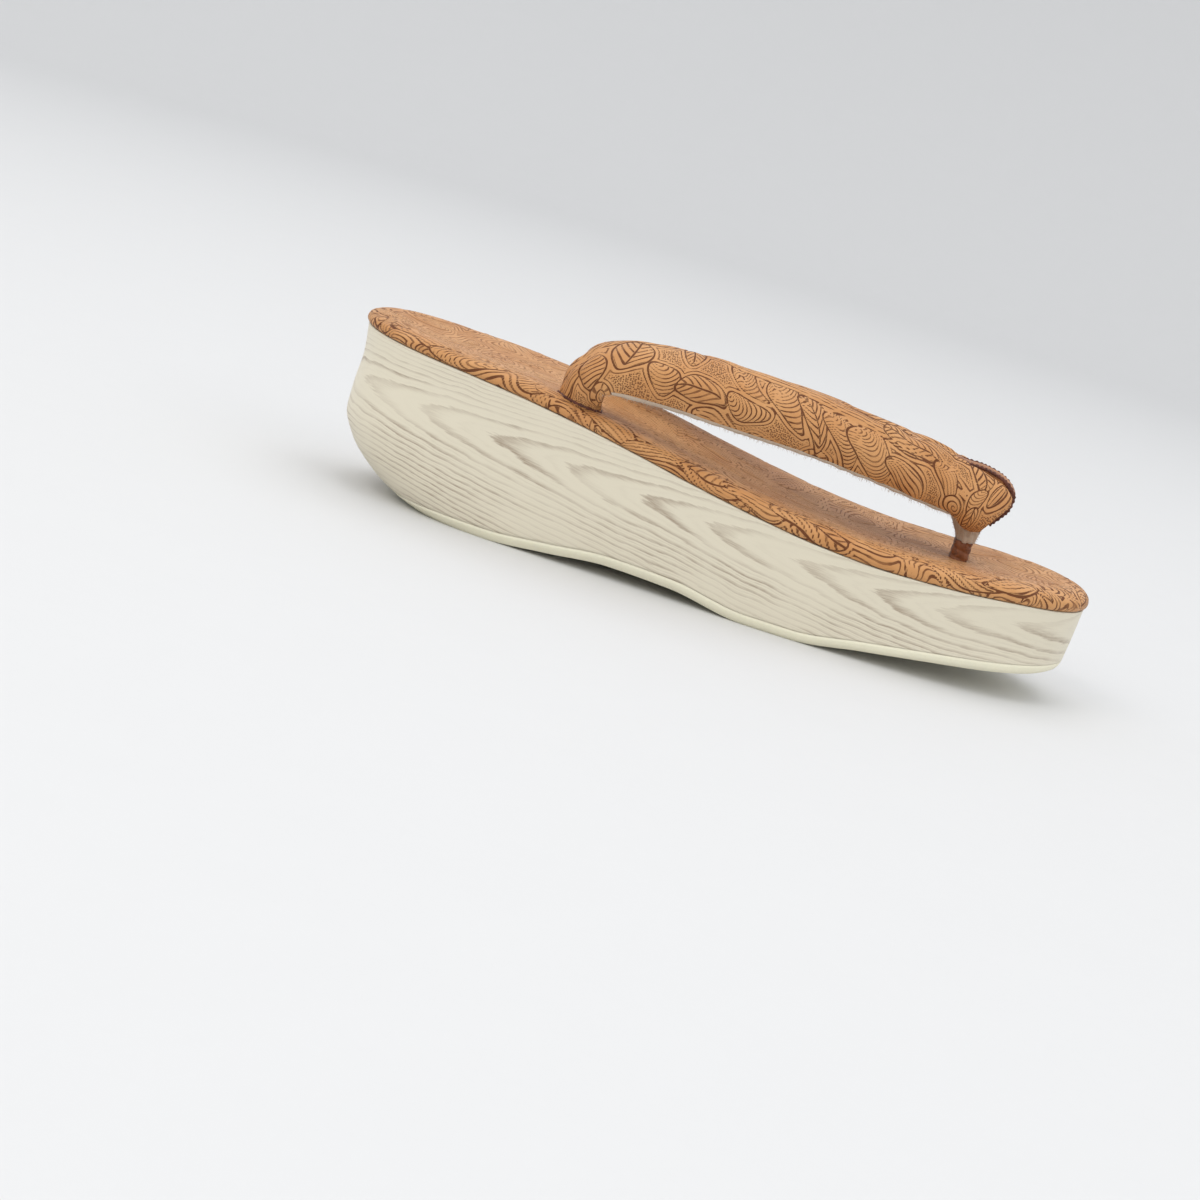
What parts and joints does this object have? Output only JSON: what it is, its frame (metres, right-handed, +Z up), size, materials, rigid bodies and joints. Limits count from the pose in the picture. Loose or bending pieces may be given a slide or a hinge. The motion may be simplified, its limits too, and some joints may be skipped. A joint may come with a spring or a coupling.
{
  "type": "zori sandal",
  "caption": "Flat-topped wedge zori sandal with a covered insole, a padded V strap joined over the toes, a toe post with its loop, and a thin outsole",
  "frame": {"origin": "on the floor under the middle of the length and width, at the bottom centre of the bounding box", "axes": "+X from heel to toe, +Y to the wearer's left, +Z up"},
  "size_m": [0.2406, 0.0832, 0.0711],
  "materials": {
    "outsole": "matt cream sheet, unprinted",
    "sole_cover": "cream cover printed with a pale grey-beige wood grain",
    "insole_leather": "tan leather tooled with dark scrolls",
    "strap_leather": "tan leather tooled with dark scrolls, padded, with a beige fleece lining",
    "loop_leather": "tan leather, drawn tight in folds",
    "post_leather": "dark red-brown leather wrapping"
  },
  "bodies": {
    "root": {"outsole": "outsole", "sole_body": "sole_cover", "insole": "insole_leather", "strap": "strap_leather", "toe_loop": "loop_leather", "toe_post": "post_leather"}
  },
  "joints": []
}
